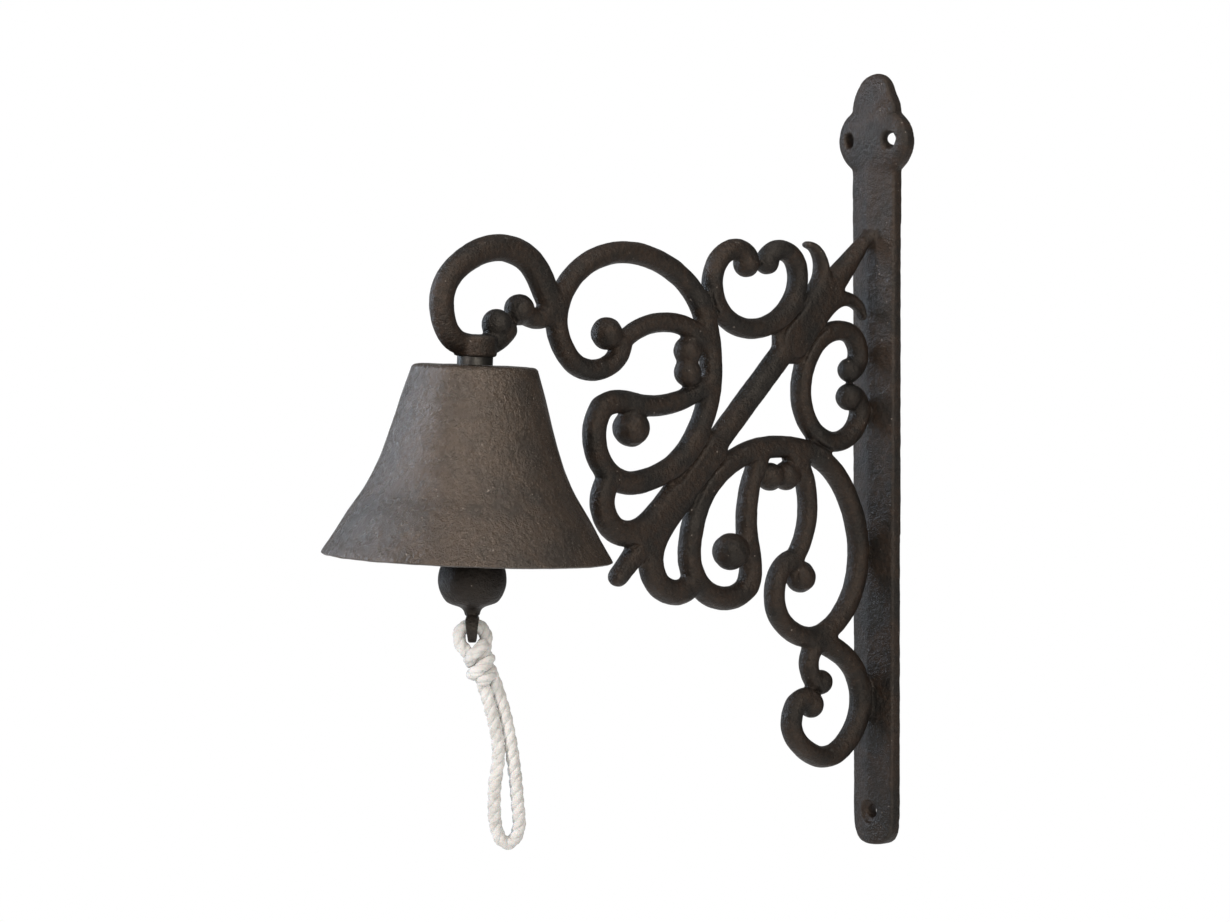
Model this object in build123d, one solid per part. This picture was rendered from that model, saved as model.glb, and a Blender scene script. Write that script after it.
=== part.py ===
from build123d import *
import math
import os

# A cast-iron bell on a scrolled wall bracket. Millimetres, +Z up. The origin is on the wall,
# midway between the two upper screw holes; the bracket stands out from the wall towards -Y.

# Wall bar
bar_top_width = 29.0
bar_bottom_width = 26.5
bar_edge = 5.0                 # thickness at the bar's two edges, at its top
bar_ridge = 8.6                # thickness at its middle line
bar_bottom = -329.0
finial_tip = 31.5
finial_shoulder = 14.0
finial_belly = 8.0             # height above which the finial's front curves back
finial_thickness = 2.6         # at its tip
boss_width = 46.6
boss_height = 34.0
boss_thickness = 5.5
screw_spacing = 27.0
screw_hole = 6.4
lower_screw_height = -314.0
lower_hole = 6.0
lower_seat = 11.0              # flat seat round the lower screw hole
lower_seat_thickness = 6.0

# Scroll panel, cast in one with the bar. It mirrors itself about a diagonal that runs down and
# out from the wall at 45 degrees and starts at mirror_height.
mirror_height = -36.0
panel_thickness = 9.0
panel_core = 5.2               # thickness over which the bars have their full width
face_share = 0.72              # the bars' width at their front and back, as a share
scroll_width = 10.4
ring_width = 12.6

# Foot that carries the bell
foot_out = 238.5               # distance of the bell's bolt from the wall
foot_face = -94.7
foot_diameter = 18.6
foot_height = 9.0
bell_lean = 2.9                # the foot's face leans, so the bell's rim is further out

# Bolt, spacer, washer and nut
bolt_diameter = 6.0
bolt_in_foot = 8.0
spacer_diameter = 15.6
spacer_thickness = 3.6
washer_diameter = 18.0
washer_thickness = 1.6
nut_across_flats = 10.0
nut_thickness = 5.0
eye_radius = 6.0               # bolt eye, to the middle of its wire
eye_wire = 4.0
eye_neck = 1.5                 # gap from the nut to the eye

# Bell
crown_radius = 27.9
rim_radius = 62.9
bell_height = 83.0
bell_wall = 4.0
crown_thickness = 5.0
crown_round = 2.0
bell_hole = bolt_diameter + 0.16   # turns on the bolt with 0.08 mm all round
seat_gap = 0.3                 # slack between the crown and its spacer and washer

# Link ring and clapper
link_wire = 3.0
link_slack = 0.3
clapper_eye_radius = 4.6
clapper_eye_wire = 3.4
link_radius = (eye_wire + clapper_eye_wire + link_wire) / 2 + link_slack
rod_diameter = 5.0
ball_diameter = 29.6
ball_height = -191.0
tail_neck_height = -206.5
tail_neck_diameter = 6.4
tail_eye_height = -211.8
tail_eye_diameter = 13.2
tail_thickness = 4.6
cord_diameter = 6.0
cord_clearance = 1.0
tail_turn = -39.0              # the tail's eye is turned about the rod

# Knot in the cord
knot_width = 14.0
knot_top = -218.8
knot_bottom = -236.0
pin_diameter = 1.2
pin_length = 13.0
pin_height = -225.5
pin_offset = 3.0               # the pin sticks out of one side of the knot

panel_plane = Plane.YZ


# ---------------------------------------------------------------- scroll panel

def across(point):
    """The point's mirror image about the panel's diagonal."""
    out, up = point
    return (mirror_height - up, mirror_height - out)


def on_panel(point):
    """A point (out from the wall, up from the screws) in the panel's own sketch."""
    out, up = point
    return Vector(-out, up)


def bar_face(points, start_width, end_width, share):
    """A bar that follows a smooth line, with round ends and an even taper."""
    line = Spline(*[on_panel(point) for point in points])
    stations = 4 * (len(points) - 1)
    left = []
    right = []
    for index in range(stations + 1):
        t = index / stations
        half = (start_width + (end_width - start_width) * t) / 2 * share
        along = line % t
        side = Vector(-along.Y, along.X) * half
        left.append(line @ t + side)
        right.append(line @ t - side)
    tip = line @ 1 + (line % 1) * (end_width / 2 * share)
    tail = line @ 0 - (line % 0) * (start_width / 2 * share)
    outline = Wire([
        Spline(*left),
        ThreePointArc(left[-1], tip, right[-1]),
        Spline(*reversed(right)),
        ThreePointArc(right[0], tail, left[0]),
    ])
    return Face(outline)


# Each bar: the points of its middle line, and its width at both ends.
end_ring_bars = [
    ([(195, -76), (200.5, -66), (208, -54.5), (226, -47.8), (243, -52.5), (255, -64),
      (256, -77), (250, -87), (240, -90), (229, -89), (221.5, -84)], ring_width, 9),
    ([(197, -76), (206, -79), (213, -76)], 10, 8),
]
tail_scroll_bars = [
    ([(195, -76), (200, -66), (208, -55.5), (225, -49), (241, -55), (250, -70), (246, -83),
      (234, -92), (224, -89), (221.5, -83)], scroll_width, 9),
    ([(197, -77), (206, -81.5), (213.5, -79)], 9, 8),
]
half_bars = [
    # arch over the arm, down the panel's main bar and round its lower loop
    ([(168, -119), (172.6, -131), (168, -145), (156, -153), (140, -152), (124, -145),
      (112, -131), (105.8, -115), (105, -98), (108, -82), (117, -67), (134, -55.5),
      (155, -50.5), (176, -55), (189, -66), (193.8, -80), (190, -92.5), (182, -100.5),
      (171, -102.5), (161, -98.5), (157, -91)], scroll_width, 9),
    ([(168, -119), (157, -117), (146, -119), (130, -119), (118, -116), (107, -110)],
     scroll_width, 8),
    ([(155, -89), (143, -83.5), (133, -82.2), (121, -84), (109, -92)], 8, 9),
    # heart
    ([(83, -53), (90, -49.7), (98.5, -53), (104, -64), (100.5, -76), (91, -84), (79, -86.3),
      (66, -83), (56, -74.5), (52.3, -64), (55, -54.5), (63, -50.5), (71, -54)], 9, 9),
    # lobe beside the diagonal's lower end
    ([(166, -154), (167.5, -165), (161.5, -173.5), (150, -176), (138, -170), (126, -159)],
     11, 12),
    # curled leaf beside the diagonal's upper end
    ([(52, -86), (42, -72), (37.5, -60), (41, -51), (46.5, -48.2)], 14, 3),
]
stem_bars = [
    ([(104, -140), (80, -116), (56, -92)], 11, 11),
    ([(104, -140), (128, -164), (144, -180), (159, -195)], 16, 8.5),
    ([(56, -92), (36, -72), (20, -56), (4, -40)], 22, 3),
]
half_balls = [
    ((165.5, -86.5), 7.2),
    ((151.5, -129), 8.4),
    ((118.5, -95.5), 6.6),
    ((118.5, -105.2), 6.4),
    ((83.5, -56.5), 6.2),
    ((71, -56), 5.6),
]
end_ring_balls = [((227, -81), 6.6), ((214.5, -75), 6.8)]
tail_scroll_balls = [((225, -80), 6), ((215, -74), 5.6)]

# Lines along which the casting is divided, through the notches between the scrolls.
heart_region = [(112.5, -38), (112.5, -60), (99, -86.5), (80, -97), (61.5, -88.5),
                (45.3, -64.5), (49.6, -50), (49.6, -38)]
hook_region = [(95, -111.7), (104, -130), (125.2, -150.2), (132, -155.35), (146, -163),
               (160, -158), (167, -154.5), (190, -150), (190, -111.7)]
arm_region = [(196.5, -38), (112.5, -38), (112.5, -60), (99, -86.5), (95, -111.7),
              (196.5, -111.7)]
leaf_region = [(190, -150), (167, -154.5), (160, -158), (146, -163), (132, -155.35),
               (125.2, -150.2), (114.2, -161.2), (119.35, -168), (127, -182), (122, -196),
               (118.5, -203), (114, -226), (190, -226)]
ring_region = [(196.5, -30), (280, -30), (280, -111.7), (196.5, -111.7)]


def mirrored(bars):
    return [([across(point) for point in points], *widths) for points, *widths in bars]


def mirrored_balls(balls):
    return [(across(centre), radius) for centre, radius in balls]


def region(points):
    """A prism through the panel over the given outline."""
    outline = Polyline(*[on_panel(point) for point in points], close=True)
    return extrude(panel_plane * make_face(outline), amount=2 * panel_thickness, both=True)


def bell_place():
    """Where the bell's bolt leaves the foot: +Z along the bolt, leaning with the foot."""
    return Location((0, -foot_out, foot_face), (-bell_lean, 0, 0))


def scroll_panel():
    bars = (half_bars + mirrored(half_bars) + stem_bars + end_ring_bars
            + mirrored(tail_scroll_bars))
    balls = (half_balls + mirrored_balls(half_balls) + end_ring_balls
             + mirrored_balls(tail_scroll_balls))
    panel = None
    for thickness, share in ((panel_core, 1), (panel_thickness, face_share)):
        faces = [bar_face(points, start, end, share) for points, start, end in bars]
        outline = panel_plane * (Sketch() + faces)
        layer = extrude(outline, amount=thickness / 2, both=True)
        panel = layer if panel is None else panel + layer
    for (out, up), radius in balls:
        panel += Pos(0, -out, up) * Sphere(radius)
    foot = Cylinder(foot_diameter / 2, foot_height,
                    align=(Align.CENTER, Align.CENTER, Align.MIN))
    bolt_hole = Cylinder(bolt_diameter / 2, bolt_in_foot,
                         align=(Align.CENTER, Align.CENTER, Align.MIN))
    below_foot = Cylinder(foot_diameter, foot_height,
                          align=(Align.CENTER, Align.CENTER, Align.MAX))
    panel += bell_place() * foot
    panel -= bell_place() * below_foot
    panel -= bell_place() * bolt_hole
    return panel


def panel_nodes(panel):
    """The casting's scrolls as separate solids that meet face to face."""
    regions = {
        "end_ring": ring_region,
        "arm_scroll": arm_region,
        "heart_scroll": heart_region,
        "upper_hook_scroll": hook_region,
        "leaf_cluster": leaf_region,
        "oval_scroll": [across(point) for point in heart_region],
        "arch_scroll": [across(point) for point in arm_region],
        "lower_hook_scroll": [across(point) for point in hook_region],
        "tail_scroll": [across(point) for point in ring_region],
    }
    nodes = {}
    rest = panel
    for name, outline in regions.items():
        prism = region(outline)
        nodes[name] = rest & prism
        rest = rest - prism
    nodes["diagonal_stem"] = rest
    return nodes


# ---------------------------------------------------------------- wall bar

def wall_bar():
    half = bar_top_width / 2
    foot = bar_bottom_width / 2
    end_curve = Spline((-foot, bar_bottom + foot), (0, bar_bottom), (foot, bar_bottom + foot),
                       tangents=((0, -1), (0, 1)))
    finial_side = [(half, finial_shoulder), (half * 0.8, finial_tip - 9.7),
                   (half * 0.53, finial_tip - 3)]
    other_side = [(-across_bar, up) for across_bar, up in reversed(finial_side)]
    top_curve = Spline(*finial_side, (0, finial_tip), *other_side,
                       tangents=((0, 1), (0, -1)))
    outline = Wire([
        end_curve,
        Line((foot, bar_bottom + foot), finial_side[0]),
        top_curve,
        Line(other_side[-1], (-foot, bar_bottom + foot)),
    ])
    blank = extrude(Plane.XZ * Face(outline), amount=bar_ridge)
    section = make_face(Polyline((-half, 0), (half, 0), (half, -bar_edge), (0, -bar_ridge),
                                 (-half, -bar_edge), close=True))
    roof = Pos(0, 0, bar_bottom) * extrude(section, amount=finial_tip - bar_bottom)
    side_view = Wire([
        Line((0, bar_bottom), (-bar_ridge, bar_bottom)),
        Line((-bar_ridge, bar_bottom), (-bar_ridge, finial_belly)),
        Spline((-bar_ridge, finial_belly), (-bar_ridge * 0.62, finial_tip - 6),
               (-finial_thickness, finial_tip), tangents=((0, 1), (0.8, 0.6))),
        Line((-finial_thickness, finial_tip), (0, finial_tip)),
        Line((0, finial_tip), (0, bar_bottom)),
    ])
    curved_back = extrude(Plane.YZ * Face(side_view), amount=bar_top_width, both=True)
    bar = blank & roof & curved_back
    boss = extrude(Plane.XZ * Ellipse(boss_width / 2, boss_height / 2), amount=boss_thickness)
    bar += boss
    for side in (-1, 1):
        bar -= Pos(side * screw_spacing / 2, 0, 0) * Rot(90, 0, 0) * Cylinder(
            screw_hole / 2, 4 * bar_ridge)
    bar -= Pos(0, 0, lower_screw_height) * Rot(90, 0, 0) * Cylinder(
        lower_hole / 2, 4 * bar_ridge)
    seat = Cylinder(lower_seat / 2, bar_ridge, align=(Align.CENTER, Align.CENTER, Align.MIN))
    bar -= Pos(0, -lower_seat_thickness, lower_screw_height) * Rot(90, 0, 0) * seat
    return bar


# ---------------------------------------------------------------- bell and its bolt

crown_top = -spacer_thickness - seat_gap
crown_under = crown_top - crown_thickness
washer_top = crown_under - seat_gap
nut_top = washer_top - washer_thickness
nut_bottom = nut_top - nut_thickness
eye_centre = nut_bottom - eye_neck - eye_radius - eye_wire / 2
above = (Align.CENTER, Align.CENTER, Align.MIN)
below = (Align.CENTER, Align.CENTER, Align.MAX)


def ring_part(outer, inner, thickness):
    return Cylinder(outer / 2, thickness, align=below) - Cylinder(
        inner / 2, 3 * thickness)


def hanger_eyebolt():
    shank = Pos(0, 0, bolt_in_foot) * Cylinder(
        bolt_diameter / 2, bolt_in_foot - nut_bottom + eye_neck + eye_wire / 2, align=below)
    eye = Pos(0, 0, eye_centre) * Rot(90, 0, 0) * Torus(eye_radius, eye_wire / 2)
    return bell_place() * (shank + eye)


def spacer():
    return bell_place() * ring_part(spacer_diameter, bolt_diameter, spacer_thickness)


def lower_washer():
    return bell_place() * Pos(0, 0, washer_top) * ring_part(
        washer_diameter, bolt_diameter, washer_thickness)


def lock_nut():
    hexagon = RegularPolygon(nut_across_flats / 2, 6, major_radius=False)
    body = extrude(hexagon - Circle(bolt_diameter / 2), amount=-nut_thickness)
    return bell_place() * Pos(0, 0, nut_top) * body


def bell_shell():
    slope = rim_radius - crown_radius
    depths = (0.0, 0.17, 0.335, 0.5, 0.65, 0.78, 1.0)
    shares = (0.0, 0.1, 0.21, 0.337, 0.5, 0.7, 1.0)
    outer = [(crown_radius + slope * share, crown_top - bell_height * depth)
             for depth, share in zip(depths, shares)]
    inner = [(radius - bell_wall, height) for radius, height in outer[1:]]
    inner_top = (inner[0][0] - 1.5, crown_under)
    outline = Wire([
        Line((bell_hole / 2, crown_top), outer[0]),
        Spline(*outer),
        Line(outer[-1], inner[-1]),
        Spline(inner_top, *inner),
        Line(inner_top, (bell_hole / 2, crown_under)),
        Line((bell_hole / 2, crown_under), (bell_hole / 2, crown_top)),
    ])
    shell = revolve(Plane.XZ * Face(outline), Axis.Z)
    crown_edge = shell.edges().filter_by(GeomType.CIRCLE).sort_by(Axis.Z)[-2:]
    crown_edge = crown_edge.sort_by(SortBy.RADIUS)[-1]
    shell = fillet(crown_edge, crown_round)
    return bell_place() * shell


# ---------------------------------------------------------------- link and clapper

link_pivot = (bell_place() * Pos(0, 0, eye_centre - eye_radius)).position
clapper_pivot_height = link_pivot.Z - (
    2 * link_radius - eye_wire / 2 - link_wire / 2 - link_slack)


def link_ring():
    centre = link_pivot.Z + eye_wire / 2 + link_wire / 2 + link_slack - link_radius
    return Pos(0, link_pivot.Y, centre) * Rot(0, 90, 0) * Torus(link_radius, link_wire / 2)


def clapper():
    axis_out = link_pivot.Y
    eye_middle = (clapper_pivot_height + link_wire / 2 + clapper_eye_wire / 2 + link_slack
                  - clapper_eye_radius)
    ball = ball_diameter / 2
    rod = rod_diameter / 2
    neck = tail_neck_diameter / 2
    rod_top = eye_middle - clapper_eye_radius
    shoulder = math.sqrt(ball ** 2 - rod ** 2)
    outline = Wire([
        Line((0, rod_top), (rod, rod_top)),
        Line((rod, rod_top), (rod, ball_height + shoulder)),
        ThreePointArc((rod, ball_height + shoulder), (ball, ball_height),
                      (ball * 0.8, ball_height - ball * 0.6)),
        Spline((ball * 0.8, ball_height - ball * 0.6), (neck, tail_neck_height),
               tangents=((-0.6, -0.8), (0, -1))),
        Line((neck, tail_neck_height), (0, tail_neck_height)),
        Line((0, tail_neck_height), (0, rod_top)),
    ])
    body = revolve(Plane.XZ * Face(outline), Axis.Z)
    eye = Pos(0, 0, eye_middle) * Rot(90, 0, 0) * Torus(
        clapper_eye_radius, clapper_eye_wire / 2)
    tail = Pos(0, 0, tail_eye_height) * Rot(90, 0, 0) * Cylinder(
        tail_eye_diameter / 2, tail_thickness)
    web = Pos(0, 0, tail_eye_height) * Box(
        tail_neck_diameter, tail_thickness, tail_neck_height - tail_eye_height + 1,
        align=above)
    hole = Pos(0, 0, tail_eye_height) * Rot(90, 0, 0) * Cylinder(
        cord_diameter / 2 + cord_clearance, 3 * tail_thickness)
    turned_tail = Rot(0, 0, tail_turn) * ((tail + web) - hole)
    hole = Rot(0, 0, tail_turn) * hole
    return Pos(0, axis_out, 0) * ((body + eye) - hole + turned_tail)


# ---------------------------------------------------------------- pull cord

# Routes as (x, out, up) from the clapper's axis, chosen by hand.
eye_loop_route = [(-6.4, -219.6), (-6.4, -215.2), (-3, -211.8), (3, -211.8), (6.4, -215.2),
                  (6.4, -219.6)]
pull_loop_route = [(0.6, 2.5, -234.5), (1.2, 1.2, -246), (1.6, -3.4, -262),
                   (1.0, -3.6, -279), (0.2, -1.9, -291), (0.0, -1.6, -299.6),
                   (-0.2, -3.8, -305.6), (-0.5, -8.9, -308.2), (-0.8, -13.9, -305.8),
                   (-1.0, -16.0, -299.8), (-1.3, -15.6, -290), (-1.6, -13.6, -275),
                   (-1.4, -9.4, -260), (-1.0, -6.6, -246.5), (-0.6, -5.2, -234.5)]


def cord_tube(name, points):
    """A tube along straight runs joined by arcs, each as large as its runs allow."""
    radii = []
    for before, here, after in zip(points, points[1:], points[2:]):
        run_in = here - before
        run_out = after - here
        half_turn = math.radians(run_in.get_angle(run_out)) / 2
        radii.append(0.45 * min(run_in.length, run_out.length) / math.tan(half_turn))
    path = FilletPolyline(*points, radius=radii)
    start = Plane(origin=path @ 0, z_dir=path % 0)
    tube = sweep(start * Circle(cord_diameter / 2), path=path)
    section = math.pi * cord_diameter ** 2 / 4
    print(name, "radii", [round(radius, 1) for radius in radii],
          "length", round(path.length, 1),
          "volume", round(tube.volume), "of", round(section * path.length))
    return tube


def cord_eye_loop():
    points = [Vector(0, along, up).rotate(Axis.Z, tail_turn) + Vector(0, link_pivot.Y, 0)
              for along, up in eye_loop_route]
    return cord_tube("cord_eye_loop", points)


def cord_pull_loop():
    points = [Vector(x, link_pivot.Y - out, up) for x, out, up in pull_loop_route]
    return cord_tube("cord_pull_loop", points)


def knot_pin():
    pin = Rot(90, 0, 0) * Cylinder(pin_diameter / 2, pin_length)
    return (Pos(0, link_pivot.Y, pin_height) * Rot(0, 0, tail_turn)
            * Pos(0, pin_offset, 0) * pin)


def cord_knot(others):
    height = knot_top - knot_bottom
    middle = (knot_top + knot_bottom) / 2
    knot = Pos(0, link_pivot.Y, middle) * scale(Sphere(1), (knot_width / 2, knot_width / 2,
                                                           height / 2))
    for other in others:
        knot -= other
    return knot


# ---------------------------------------------------------------- build

def build():
    bar = wall_bar()
    panel = scroll_panel() - bar
    nodes = {"wall_bar": bar}
    nodes.update(panel_nodes(panel))
    nodes["hanger_eyebolt"] = hanger_eyebolt()
    nodes["spacer"] = spacer()
    nodes["lower_washer"] = lower_washer()
    nodes["lock_nut"] = lock_nut()
    nodes["bell_shell"] = bell_shell()
    nodes["link_ring"] = link_ring()
    nodes["clapper"] = clapper()
    nodes["cord_eye_loop"] = cord_eye_loop()
    nodes["cord_pull_loop"] = cord_pull_loop()
    nodes["knot_pin"] = knot_pin()
    nodes["cord_knot"] = cord_knot([nodes["cord_eye_loop"], nodes["cord_pull_loop"],
                                    nodes["knot_pin"]])
    os.makedirs("parts", exist_ok=True)
    for name, shape in nodes.items():
        export_step(shape, f"parts/{name}.step")
    print("link pivot", link_pivot, "clapper pivot height", clapper_pivot_height)


build()
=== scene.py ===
import math

import bmesh
import bpy
import numpy as np
from mathutils import Euler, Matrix, Vector, kdtree, noise


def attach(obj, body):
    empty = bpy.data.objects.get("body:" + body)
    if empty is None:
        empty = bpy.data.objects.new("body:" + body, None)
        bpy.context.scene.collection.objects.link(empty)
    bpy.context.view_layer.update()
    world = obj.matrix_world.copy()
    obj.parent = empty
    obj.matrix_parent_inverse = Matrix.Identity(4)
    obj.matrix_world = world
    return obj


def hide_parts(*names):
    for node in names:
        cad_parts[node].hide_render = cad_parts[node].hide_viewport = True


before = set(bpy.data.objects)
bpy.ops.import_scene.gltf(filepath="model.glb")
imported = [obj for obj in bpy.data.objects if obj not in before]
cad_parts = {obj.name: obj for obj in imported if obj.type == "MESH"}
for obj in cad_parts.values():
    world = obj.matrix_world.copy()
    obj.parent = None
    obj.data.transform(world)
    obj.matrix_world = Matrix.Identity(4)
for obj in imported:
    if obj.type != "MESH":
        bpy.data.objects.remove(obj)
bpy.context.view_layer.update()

MM = 0.001
BRACKET_NODES = (
    "wall_bar", "end_ring", "arm_scroll", "heart_scroll", "upper_hook_scroll", "leaf_cluster",
    "oval_scroll", "arch_scroll", "lower_hook_scroll", "tail_scroll", "diagonal_stem",
)

# Where the bell's bolt leaves the foot, and how far it leans.
FOOT = Vector((0, -0.2385, -0.0947))
LEAN = math.radians(-2.9)
CLAPPER_AXIS = Vector((0, -0.240084, 0))
TAIL_TURN = math.radians(-39.0)

# The camera looks at the bell from 51 degrees round to the right side.
VIEW_TURN = math.radians(51.0)
TO_CAMERA = Vector((math.sin(VIEW_TURN), -math.cos(VIEW_TURN), 0))
CAMERA_RIGHT = Vector((math.cos(VIEW_TURN), math.sin(VIEW_TURN), 0))

# The knot's middle line leans towards the wall as it goes down.
KNOT_TOP = -218.0
KNOT_START = 1.4
KNOT_SLOPE = 0.2


# ---------------------------------------------------------------- camera, floor and light

def make_camera():
    """Level with the screw boss, 51 degrees round to the right side, from 1.9 m away."""
    data = bpy.data.cameras.new("photo_camera")
    data.sensor_width = 36.0
    data.lens = 118.5
    data.shift_y = -0.2244
    data.clip_start = 0.05
    data.clip_end = 50.0
    camera = bpy.data.objects.new("photo_camera", data)
    camera.location = (1.3989, -1.2935, -0.0206)
    camera.rotation_euler = (math.radians(90), 0, VIEW_TURN)
    bpy.context.scene.collection.objects.link(camera)
    bpy.context.scene.camera = camera


def area_light(name, place, aim, size, power, colour=(1.0, 1.0, 1.0)):
    data = bpy.data.lights.new(name, "AREA")
    data.shape = "RECTANGLE"
    data.size, data.size_y = size
    data.energy = power
    data.color = colour
    light = bpy.data.objects.new(name, data)
    light.location = place
    light.rotation_euler = (Vector(aim) - Vector(place)).to_track_quat("-Z", "Y").to_euler()
    bpy.context.scene.collection.objects.link(light)


def make_world():
    """A white backdrop for the camera, and a dimmer even light on everything else."""
    world = bpy.data.worlds.new("studio")
    world.use_nodes = True
    nodes = world.node_tree.nodes
    links = world.node_tree.links
    dim = nodes["Background"]
    dim.inputs["Color"].default_value = (1.0, 1.0, 1.0, 1.0)
    dim.inputs["Strength"].default_value = 0.22
    bright = nodes.new("ShaderNodeBackground")
    bright.inputs["Color"].default_value = (1.0, 1.0, 1.0, 1.0)
    bright.inputs["Strength"].default_value = 1.0
    path = nodes.new("ShaderNodeLightPath")
    mix = nodes.new("ShaderNodeMixShader")
    links.new(path.outputs["Is Camera Ray"], mix.inputs["Fac"])
    links.new(dim.outputs["Background"], mix.inputs[1])
    links.new(bright.outputs["Background"], mix.inputs[2])
    links.new(mix.outputs["Shader"], nodes["World Output"].inputs["Surface"])
    bpy.context.scene.world = world


def make_studio():
    bpy.context.scene.view_settings.view_transform = "Standard"
    make_world()
    bell = (0, -0.24, -0.14)
    area_light("key", (-0.05, -2.1, 0.6), bell, (0.2, 0.9), 36, (1.0, 0.93, 0.9))
    area_light("window", (-1.6, -0.9, 0.3), bell, (0.35, 1.3), 24, (0.7, 0.83, 1.0))
    area_light("fill", (2.0, -1.0, 0.5), bell, (1.4, 1.4), 44, (1.0, 0.94, 0.86))
    area_light("top", (0.5, -0.3, 1.5), bell, (0.8, 0.8), 11)

    floor_height = -1.5
    half = 4.0
    mesh = bpy.data.meshes.new("floor")
    corners = [(-half, -half), (half, -half), (half, half), (-half, half)]
    mesh.from_pydata([(x, y, floor_height) for x, y in corners], [], [(0, 1, 2, 3)])
    floor = bpy.data.objects.new("floor", mesh)
    bpy.context.scene.collection.objects.link(floor)
    material, shader = new_material("studio_floor")
    shader.inputs["Base Color"].default_value = (0.8, 0.8, 0.79, 1)
    shader.inputs["Roughness"].default_value = 0.9
    shader.inputs["Emission Color"].default_value = (1.0, 1.0, 1.0, 1)
    shader.inputs["Emission Strength"].default_value = 0.3
    mesh.materials.append(material)


# ---------------------------------------------------------------- materials

def new_material(name):
    material = bpy.data.materials.new(name)
    material.use_nodes = True
    return material, material.node_tree.nodes["Principled BSDF"]


class Graph:
    """Short calls for building one material's nodes."""

    def __init__(self, material):
        self.tree = material.node_tree
        coordinates = self.tree.nodes.new("ShaderNodeTexCoord")
        self.place = coordinates.outputs["Object"]

    def link(self, source, target):
        self.tree.links.new(source, target)

    def noise(self, per_metre, detail=2.0, roughness=0.5, stretch=(1, 1, 1)):
        mapping = self.tree.nodes.new("ShaderNodeMapping")
        mapping.inputs["Scale"].default_value = stretch
        self.link(self.place, mapping.inputs["Vector"])
        node = self.tree.nodes.new("ShaderNodeTexNoise")
        node.inputs["Scale"].default_value = per_metre
        node.inputs["Detail"].default_value = detail
        node.inputs["Roughness"].default_value = roughness
        self.link(mapping.outputs["Vector"], node.inputs["Vector"])
        return node.outputs["Fac"]

    def ramp(self, value, *stops):
        node = self.tree.nodes.new("ShaderNodeValToRGB")
        elements = node.color_ramp.elements
        while len(elements) < len(stops):
            elements.new(0.5)
        for element, (position, colour) in zip(elements, stops):
            element.position = position
            element.color = (*colour, 1)
        self.link(value, node.inputs["Fac"])
        return node.outputs["Color"]

    def spread(self, value, low, high, to_low, to_high):
        node = self.tree.nodes.new("ShaderNodeMapRange")
        for name, number in zip(("From Min", "From Max", "To Min", "To Max"),
                                (low, high, to_low, to_high)):
            node.inputs[name].default_value = number
        self.link(value, node.inputs["Value"])
        return node.outputs["Result"]

    def mix(self, share, first, second):
        node = self.tree.nodes.new("ShaderNodeMix")
        node.data_type = "RGBA"
        for source, name in ((share, "Factor"), (first, "A"), (second, "B")):
            socket = [s for s in node.inputs if s.name == name and s.enabled][0]
            if isinstance(source, (int, float)):
                socket.default_value = source
            elif isinstance(source, tuple):
                socket.default_value = (*source, 1)
            else:
                self.link(source, socket)
        return [s for s in node.outputs if s.name == "Result" and s.enabled][0]

    def bump(self, height, distance, strength=1.0, under=None):
        node = self.tree.nodes.new("ShaderNodeBump")
        node.inputs["Distance"].default_value = distance
        node.inputs["Strength"].default_value = strength
        self.link(height, node.inputs["Height"])
        if under is not None:
            self.link(under, node.inputs["Normal"])
        return node.outputs["Normal"]

    def edges(self):
        node = self.tree.nodes.new("ShaderNodeNewGeometry")
        return node.outputs["Pointiness"]


# wear sets how far the convex edges are lightened towards the grey: painted highlight.
def cast_iron(name, dark, warm, highlight_grey, roughness, grain, gloss, edge_highlight_share=0.5):
    """Oiled dark cast iron: mottled colour with grey patches of painted highlight, sand-cast skin,
    painted highlights on the convex edges, a few pale specks painted as glints.
    """
    material, shader = new_material(name)
    graph = Graph(material)
    patches = graph.noise(32, 5, 0.62)
    # The grey stop is the colour of the highlights: painted highlight, in random patches.
    colour = graph.ramp(patches, (0.36, dark), (0.5, warm), (0.6, dark), (0.72, highlight_grey))
    mottle = graph.noise(480, 4, 0.65)
    colour = graph.mix(graph.spread(mottle, 0.4, 0.66, 0.0, 0.7), colour, dark)
    # Convex edges lightened towards a brighter grey: painted highlight where light catches the
    # ridges.
    edge_highlight = graph.spread(graph.edges(), 0.512, 0.56, 0.0, edge_highlight_share)
    colour = graph.mix(edge_highlight, colour, tuple(2.6 * channel for channel in highlight_grey))
    # Small pale specks at random: painted glints.
    glint_specks = graph.spread(graph.noise(620, 1, 0.5), 0.775, 0.79, 0.0, 0.5)
    colour = graph.mix(glint_specks, colour, (0.3, 0.26, 0.23))
    graph.link(colour, shader.inputs["Base Color"])
    shine = graph.spread(graph.noise(120, 5, 0.65), 0.32, 0.68, roughness - 0.1,
                         roughness + 0.14)
    graph.link(shine, shader.inputs["Roughness"])
    shader.inputs["Specular IOR Level"].default_value = gloss
    shader.inputs["Specular Tint"].default_value = (1.0, 0.89, 0.8, 1)
    skin = graph.bump(graph.noise(420, 4, 0.6), 0.0006 * grain)
    skin = graph.bump(graph.noise(1250, 3, 0.65), 0.0003 * grain, under=skin)
    graph.link(skin, shader.inputs["Normal"])
    return material


def plated_steel(name, colour, roughness):
    material, shader = new_material(name)
    graph = Graph(material)
    stain = graph.noise(260, 4, 0.6)
    dull = tuple(0.55 * channel for channel in colour)
    graph.link(graph.ramp(stain, (0.35, dull), (0.65, colour)), shader.inputs["Base Color"])
    graph.link(graph.spread(graph.noise(700, 3), 0.3, 0.7, roughness - 0.08, roughness + 0.12),
               shader.inputs["Roughness"])
    shader.inputs["Metallic"].default_value = 0.9
    graph.link(graph.bump(graph.noise(1500, 2), 0.00006), shader.inputs["Normal"])
    return material


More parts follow.
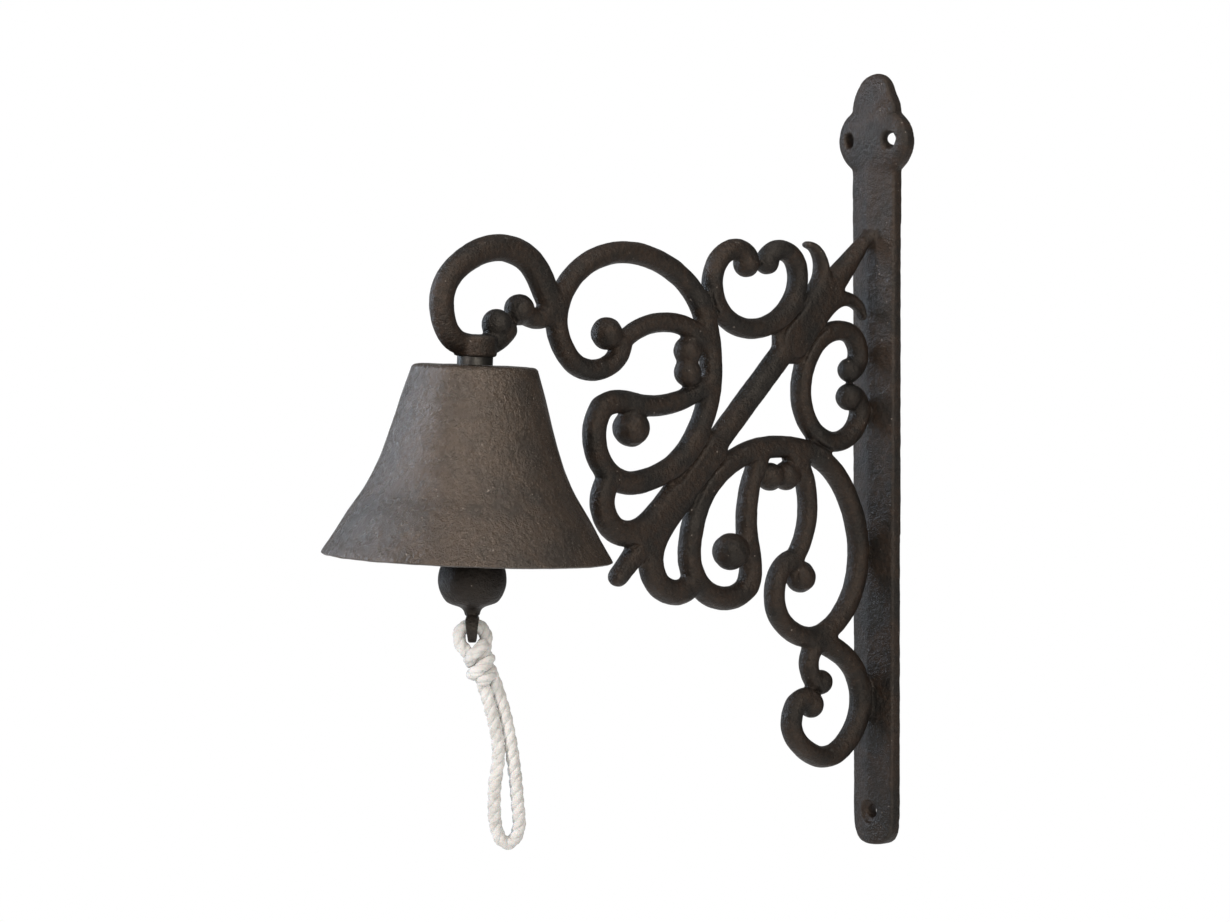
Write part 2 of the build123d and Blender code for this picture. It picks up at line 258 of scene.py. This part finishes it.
def cotton(name):
    """Undyed cotton: off-white, a little soiled, soft sheen, with fine fibres in its bump."""
    material, shader = new_material(name)
    graph = Graph(material)
    soil = graph.noise(130, 4, 0.65)
    colour = graph.ramp(soil, (0.3, (0.4, 0.39, 0.37)), (0.46, (0.52, 0.515, 0.505)),
                        (0.66, (0.6, 0.597, 0.59)))
    flecks = graph.spread(graph.noise(750, 2), 0.66, 0.74, 0.0, 0.45)
    colour = graph.mix(flecks, colour, (0.17, 0.16, 0.15))
    graph.link(colour, shader.inputs["Base Color"])
    shader.inputs["Roughness"].default_value = 0.93
    shader.inputs["Sheen Weight"].default_value = 0.15
    shader.inputs["Sheen Roughness"].default_value = 0.5
    shader.inputs["Specular IOR Level"].default_value = 0.2
    shader.inputs["Subsurface Weight"].default_value = 0.12
    shader.inputs["Subsurface Scale"].default_value = 0.0015
    fuzz = graph.bump(graph.noise(2600, 3, 0.7, stretch=(1, 1, 0.35)), 0.00025, 0.8)
    graph.link(graph.bump(graph.noise(700, 3, 0.6), 0.0003, 0.7, under=fuzz),
               shader.inputs["Normal"])
    return material


# ---------------------------------------------------------------- meshes

def add_object(name, mesh, material):
    piece = bpy.data.objects.new(name, mesh)
    bpy.context.scene.collection.objects.link(piece)
    if material is not None:
        mesh.materials.clear()
        mesh.materials.append(material)
    mesh.shade_smooth()
    return piece


def applied(piece, *modifiers):
    """Adds modifiers to the piece, given as (type, settings), and applies them to its mesh."""
    for kind, settings in modifiers:
        modifier = piece.modifiers.new(kind.lower(), kind)
        for key, value in settings.items():
            setattr(modifier, key, value)
    depsgraph = bpy.context.evaluated_depsgraph_get()
    mesh = bpy.data.meshes.new_from_object(piece.evaluated_get(depsgraph))
    piece.modifiers.clear()
    old = piece.data
    piece.data = mesh
    bpy.data.meshes.remove(old)
    return piece


def points_of(mesh):
    flat = np.zeros(3 * len(mesh.vertices))
    mesh.vertices.foreach_get("co", flat)
    return flat.reshape(-1, 3)


def normals_of(mesh):
    return np.array([vertex.normal for vertex in mesh.vertices], float)


def set_points(mesh, points):
    mesh.vertices.foreach_set("co", points.ravel())
    mesh.update()


def joined_copy(name, meshes):
    """One new mesh with the faces of these meshes, welded where they meet."""
    build = bmesh.new()
    for mesh in meshes:
        build.from_mesh(mesh)
    bmesh.ops.remove_doubles(build, verts=build.verts, dist=1e-6)
    mesh = bpy.data.meshes.new(name)
    build.to_mesh(mesh)
    build.free()
    return mesh


def recast(name, meshes, material, voxel, rounds, swell, roughness, shapes=()):
    """The meshes melted into one skin, softened as a casting is, with a slightly uneven face."""
    piece = add_object(name, joined_copy(name, meshes), material)
    applied(piece, ("REMESH", {"mode": "VOXEL", "voxel_size": voxel}))
    for shape in shapes:
        shape(piece.data)
    applied(piece, ("SMOOTH", {"factor": 0.5, "iterations": rounds}))
    roughen(piece.data, swell, roughness)
    piece.data.shade_smooth()
    return piece


def roughen(mesh, swell, depth, grain=140):
    """Moves every point along its normal: out by swell, and in and out by up to depth."""
    points = points_of(mesh)
    normals = normals_of(mesh)
    shift = np.array([noise.fractal(Vector(point) * grain, 0.8, 2.0, 3) for point in points])
    set_points(mesh, points + normals * (swell + depth * shift)[:, None])


def lathe(name, profile, material, segments, closed=False):
    """A turned mesh: profile is a list of (radius, height), walked once round its outline."""
    build = bmesh.new()
    rings = []
    for radius, height in profile:
        if radius < 1e-7:
            rings.append([build.verts.new((0, 0, height))])
            continue
        ring = []
        for index in range(segments):
            angle = 2 * math.pi * index / segments
            ring.append(build.verts.new((radius * math.cos(angle), radius * math.sin(angle),
                                         height)))
        rings.append(ring)
    pairs = list(zip(rings, rings[1:]))
    if closed:
        pairs.append((rings[-1], rings[0]))
    for first, second in pairs:
        for index in range(segments):
            after = (index + 1) % segments
            corners = [first[index % len(first)], first[after % len(first)],
                       second[after % len(second)], second[index % len(second)]]
            build.faces.new(list(dict.fromkeys(corners)))
    bmesh.ops.recalc_face_normals(build, faces=build.faces)
    mesh = bpy.data.meshes.new(name)
    build.to_mesh(mesh)
    build.free()
    return add_object(name, mesh, material)


def smooth_line(points, steps):
    """Catmull-Rom points through the given ones, steps to each interval."""
    points = [np.array(point, float) for point in points]
    ends = [2 * points[0] - points[1]] + points + [2 * points[-1] - points[-2]]
    line = []
    for a, b, c, d in zip(ends, ends[1:], ends[2:], ends[3:]):
        for step in range(steps):
            t = step / steps
            line.append(0.5 * (2 * b + (c - a) * t + (2 * a - 5 * b + 4 * c - d) * t ** 2
                               + (3 * b - a - 3 * c + d) * t ** 3))
    line.append(points[-1])
    return line


# ---------------------------------------------------------------- bracket

def dome_boss(mesh):
    """The screw boss and the finial swell up to the bar's middle ridge, as a casting does."""
    points = points_of(mesh)
    normals = normals_of(mesh)
    half_width, half_height, rim, crown = 0.0233, 0.017, 0.0046, 0.0092
    reach = np.sqrt((points[:, 0] / half_width) ** 2 + (points[:, 2] / half_height) ** 2)
    dome = rim + (crown - rim) * np.sqrt(np.clip(1 - reach ** 2, 0, 1))
    front = -points[:, 1]
    front_depth, facing_front = 0.0035, -0.4
    raised = (reach < 1) & (front > front_depth) & (normals[:, 1] < facing_front)
    points[:, 1] = np.where(raised, -np.maximum(front, dome), points[:, 1])
    set_points(mesh, points)


def dome_bars(mesh):
    """The scrolls' front and back become rounded: they fall away towards each bar's edges."""
    crown, reach, wall_zone, core = 0.0051, 0.0047, 0.0095, 0.0047
    flat, least, belt_half = 0.0045, 0.6, 0.0004
    points = points_of(mesh)
    belt = points[(np.abs(points[:, 0]) < belt_half) & (points[:, 1] < -wall_zone)]
    tree = kdtree.KDTree(len(belt))
    for index, point in enumerate(belt):
        tree.insert((0, point[1], point[2]), index)
    tree.balance()
    for point in points:
        side = abs(point[0])
        if point[1] > -wall_zone or side > core:
            continue
        inward = min(tree.find((0, point[1], point[2]))[2] / reach, 1)
        rounded = crown * math.sqrt(1 - (1 - inward) ** 2)
        if side > rounded * least:
            raised = min(side * crown / flat, max(rounded, least * side))
            point[0] = math.copysign(raised, point[0])
    set_points(mesh, points)


def bored_wall_bar():
    """The wall bar with one upper screw hole opened at a slant, as its casting has it."""
    bar = add_object("bored_bar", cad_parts["wall_bar"].data.copy(), None)
    radius, half_length = 0.003, 0.03
    outline = [(0, -half_length), (radius, -half_length), (radius, half_length), (0, half_length)]
    bore = lathe("slanting_bore", outline, None, 32)
    bore.location = (0.0135, -0.0042, 0.001)
    bore.rotation_euler = TO_CAMERA.to_track_quat("Z", "Y").to_euler()
    bpy.context.view_layer.update()
    applied(bar, ("BOOLEAN", {"operation": "DIFFERENCE", "object": bore, "solver": "EXACT"}))
    mesh = bar.data
    bpy.data.objects.remove(bar)
    bpy.data.objects.remove(bore)
    return mesh


def make_bracket(material):
    meshes = [bored_wall_bar()] + [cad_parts[node].data for node in BRACKET_NODES[1:]]
    bracket = recast("bracket_casting", meshes, material, 0.55 * MM, 26, 0.2 * MM, 0.15 * MM,
                     (dome_boss, dome_bars))
    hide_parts(*BRACKET_NODES)
    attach(bracket, "bracket")


# ---------------------------------------------------------------- bell

def make_bell(material):
    crown_radius, rim_radius, height, wall = 0.0279, 0.0629, 0.083, 0.004
    crown_top, crown_thickness, hole = -0.0039, 0.005, 0.00308
    slope = rim_radius - crown_radius
    depths = (0.035, 0.17, 0.335, 0.5, 0.65, 0.78, 0.9, 0.985)
    shares = (0.0, 0.1, 0.21, 0.337, 0.5, 0.7, 0.865, 0.995)
    outer = [(crown_radius + slope * share, crown_top - height * depth)
             for depth, share in zip(depths, shares)]
    inner = [(radius - wall, z) for radius, z in outer[1:-1]]
    mouth = crown_top - height
    rim = [(rim_radius - 0.0002, mouth), (rim_radius - 0.0014, mouth - 0.0004),
           (rim_radius - wall + 0.001, mouth - 0.0002),
           (rim_radius - wall - 0.0003, mouth + 0.0012)]
    under = crown_top - crown_thickness
    crown = [(crown_radius - 0.0006, crown_top - 0.0012),
             (crown_radius - 0.0021, crown_top - 0.0002),
             (crown_radius - 0.005, crown_top)]
    profile = [(hole, crown_top), (0.011, crown_top)]
    profile += smooth_line(list(reversed(crown)) + outer + rim + list(reversed(inner)), 7)
    profile += [(inner[0][0] - 0.0022, under - 0.001), (inner[0][0] - 0.006, under), (hole, under)]
    bell = lathe("bell_casting", profile, material, 220, closed=True)
    roughen(bell.data, 0.0, 0.16 * MM, grain=85)
    bell.location = FOOT
    bell.rotation_euler = Euler((LEAN, 0, 0))
    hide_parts("bell_shell")
    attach(bell, "bell")


def round_tail(mesh):
    """The clapper's tail is stoutest under the ball and thins to a blunt point."""
    tail_top, tail_end, stout, thin = -0.2075, -0.2184, 1.3, 0.72
    side = Vector((0, 1, 0))
    side.rotate(Euler((0, 0, TAIL_TURN)))
    side = np.array(side)
    points = points_of(mesh)
    down = np.clip((tail_top - points[:, 2]) / (tail_top - tail_end), 0, 1)
    scale = np.where(points[:, 2] < tail_top, stout + (thin - stout) * down, 1.0)
    away = (points - np.array(CLAPPER_AXIS)) @ side
    set_points(mesh, points + np.outer(away * (scale - 1), side))


# ---------------------------------------------------------------- cord

CORD_DIAMETER = 6.0 * MM
KNOT_CORD_DIAMETER = 5.8 * MM
ROPE_LAY = 15.5 * MM

# The cord's route in three stretches. Along is measured from the clapper's axis, through the
# eye in its tail; up is from the screw holes.
EYE_LOOP_ROUTE = [(1.2, -225.5), (-3.0, -222.2), (-5.7, -218.2), (-5.7, -213.6),
                  (-2.8, -211), (2.8, -211), (5.7, -213.8), (5.9, -218.5)]
KNOT_ROUTE = [(4.6, -223.5), (3.2, -227.5)]
PULL_LOOP_ROUTE = [(3.2, -232.5), (5.2, -238), (7.4, -245.5), (10.6, -258), (11.5, -268),
                   (9.6, -279), (9.2, -291), (10.0, -299.2), (12.2, -304.6), (15.3, -306.4),
                   (18.4, -304.4), (20.4, -299), (19.6, -291), (18.6, -279), (17.0, -266),
                   (14.4, -251.5), (11.2, -240), (8.2, -232), (5.0, -225.5)]


def route_spline(name, points):
    """The route's NURBS line, as the closely spaced points that Blender gives for it."""
    data = bpy.data.curves.new(name, "CURVE")
    data.dimensions = "3D"
    data.resolution_u = 24
    spline = data.splines.new("NURBS")
    spline.points.add(len(points) - 1)
    for control, point in zip(spline.points, points):
        control.co = (*point, 1)
    spline.order_u = 3
    spline.use_endpoint_u = True
    holder = bpy.data.objects.new(name, data)
    bpy.context.scene.collection.objects.link(holder)
    mesh = bpy.data.meshes.new_from_object(holder)
    line = [vertex.co.copy() for vertex in mesh.vertices]
    bpy.data.meshes.remove(mesh)
    bpy.data.objects.remove(holder)
    bpy.data.curves.remove(data)
    return line


def evenly(line, gap):
    """The same line with its points a fixed gap apart."""
    points = np.array(line)
    steps = np.linalg.norm(np.diff(points, axis=0), axis=1)
    along = np.concatenate([[0], np.cumsum(steps)])
    count = max(8, int(along[-1] / gap))
    wanted = np.linspace(0, along[-1], count)
    return np.stack([np.interp(wanted, along, points[:, axis]) for axis in range(3)], axis=1)


def frames_along(points):
    """A tangent and two side directions at each point, turning as little as possible."""
    tangents = np.gradient(points, axis=0)
    tangents /= np.linalg.norm(tangents, axis=1)[:, None]
    side = np.cross(tangents[0], (0.3, 0.5, 0.8))
    sides = []
    for tangent in tangents:
        side = side - tangent * np.dot(side, tangent)
        side /= np.linalg.norm(side)
        sides.append(side)
    sides = np.array(sides)
    return sides, np.cross(tangents, sides)


def strand(build, line, radius, yarns, yarn_twist, flare, seed):
    """A tube of twisted yarns along the line."""
    around = 6 * yarns
    sides, ups = frames_along(line)
    lengths = np.concatenate([[0], np.cumsum(np.linalg.norm(np.diff(line, axis=0), axis=1))])
    rings = []
    for index, centre in enumerate(line):
        ring = []
        turn = 2 * math.pi * lengths[index] / yarn_twist
        end = min(lengths[index], lengths[-1] - lengths[index])
        fade = min(1.0, 0.35 + end / flare)
        wander = noise.noise(Vector((lengths[index] * 160, seed * 7.3, 1.7)))
        for step in range(around):
            angle = 2 * math.pi * step / around
            groove = abs(math.sin(yarns * (angle - turn) / 2)) ** 0.6
            size = radius * fade * (0.88 + 0.14 * groove + 0.09 * wander)
            offset = sides[index] * math.cos(angle) + ups[index] * math.sin(angle)
            ring.append(build.verts.new(centre + offset * size))
        rings.append(ring)
    for first, second in zip(rings, rings[1:]):
        for step in range(around):
            after = (step + 1) % around
            build.faces.new((first[step], first[after], second[after], second[step]))
    build.faces.new(reversed(rings[0]))
    build.faces.new(rings[-1])


def rope(name, line, material, diameter):
    """Three strands laid round the line, one turn in each lay."""
    points = evenly(line, 0.4 * MM)
    sides, ups = frames_along(points)
    lengths = np.concatenate([[0], np.cumsum(np.linalg.norm(np.diff(points, axis=0), axis=1))])
    build = bmesh.new()
    strand_radius = 0.33 * diameter
    yarns, yarn_twist, fade_length = 5, 0.011, 0.003
    offset = 0.5 * diameter - strand_radius
    for number in range(3):
        angle = 2 * math.pi * (lengths / ROPE_LAY + number / 3)
        centre = points + offset * (sides * np.cos(angle)[:, None]
                                    + ups * np.sin(angle)[:, None])
        strand(build, centre, strand_radius, yarns, yarn_twist, fade_length, number + 1)
    mesh = bpy.data.meshes.new(name)
    bmesh.ops.recalc_face_normals(build, faces=build.faces)
    build.to_mesh(mesh)
    build.free()
    return add_object(name, mesh, material)


def beside_tail(points, lean=1.0):
    """Points given as (along, up), where along runs through the tail's eye, in the shared frame.
    lean is how much of along stays in that direction; the rest runs out from the wall."""
    turned = []
    for along, up in points:
        point = Vector((0, along, 0)) * MM
        point.rotate(Euler((0, 0, TAIL_TURN)))
        turned.append(point * lean + Vector((0, along * (1 - lean) / CAMERA_RIGHT.y, up)) * MM
                      + CLAPPER_AXIS)
    return turned


def knot_wrap_points():
    """The knot's outer turns, as (heading, radius, height) round its slanting middle line."""
    turns = [(70, 2.4, -218.0), (30, 4.0, -218.7), (-8, 4.5, -219.9), (-42, 4.6, -221.8),
             (-84, 4.6, -224.3), (-129, 4.4, -226.8), (-175, 4.3, -226.8), (-219, 4.3, -225.4),
             (-264, 4.4, -224.4), (-309, 4.6, -224.9), (-350, 4.8, -226.6), (-394, 4.8, -228.8),
             (-438, 4.6, -230.9), (-484, 4.3, -232.3), (-530, 4.1, -231.8), (-578, 4.1, -230.6),
             (-628, 4.3, -230.2), (-669, 4.5, -231.0), (-715, 4.3, -232.8), (-760, 3.8, -234.2),
             (-800, 2.6, -235.2)]
    points = []
    for heading, radius, height in turns:
        angle = math.radians(heading)
        lean = KNOT_START + (KNOT_TOP - height) * KNOT_SLOPE
        turn = Vector((radius * math.cos(angle), radius * math.sin(angle), height))
        points.append((turn + lean * CAMERA_RIGHT) * MM + CLAPPER_AXIS)
    return points


def make_cord(material, pin_material):
    route = beside_tail(EYE_LOOP_ROUTE + KNOT_ROUTE) + beside_tail(PULL_LOOP_ROUTE, 0.55)
    line = route_spline("cord_route", route)
    diameter = CORD_DIAMETER
    cord = rope("pull_cord", line, material, diameter)
    wrap = rope("cord_knot_wrap", route_spline("knot_route", knot_wrap_points()), material,
                KNOT_CORD_DIAMETER)
    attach(wrap, "cord")
    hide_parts("cord_knot")
    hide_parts("cord_eye_loop", "cord_pull_loop")
    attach(cord, "cord")
    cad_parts["knot_pin"].data.materials.clear()
    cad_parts["knot_pin"].data.materials.append(pin_material)


# ---------------------------------------------------------------- build

def main():
    make_camera()
    make_studio()
    bracket_iron = cast_iron("bracket_cast_iron", (0.007, 0.0064, 0.0058),
                             (0.022, 0.0135, 0.009), (0.022, 0.02, 0.018), 0.38, 1.4, 0.3)
    bell_iron = cast_iron("bell_cast_iron", (0.018, 0.0135, 0.01), (0.036, 0.024, 0.016),
                          (0.03, 0.025, 0.021), 0.25, 1.6, 0.62, 0.35)
    clapper_iron = cast_iron("clapper_cast_iron", (0.008, 0.0075, 0.007),
                             (0.014, 0.011, 0.009), (0.02, 0.018, 0.017), 0.4, 1.4, 0.28)
    # Dark steel for the fasteners, darkened further so that the spacer between the foot and the
    # bell carries the shade of that gap: painted shade.
    steel = plated_steel("fastener_steel_painted_shade", (0.045, 0.043, 0.04), 0.45)
    pin_steel = plated_steel("pin_grey_steel", (0.09, 0.088, 0.085), 0.5)
    white_cotton = cotton("cord_white_cotton")

    make_bracket(bracket_iron)
    make_bell(bell_iron)
    make_cord(white_cotton, pin_steel)

    clapper_piece = recast("clapper_casting", [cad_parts["clapper"].data], clapper_iron,
                           0.35 * MM, 12, 0.08 * MM, 0.1 * MM, (round_tail,))
    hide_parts("clapper")
    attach(clapper_piece, "clapper")
    # The spacer and the other fasteners get the darkened steel: on the spacer its darkness is
    # painted shade.
    for node in ("hanger_eyebolt", "spacer", "lower_washer", "lock_nut", "link_ring"):
        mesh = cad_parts[node].data
        mesh.materials.clear()
        mesh.materials.append(steel)


main()
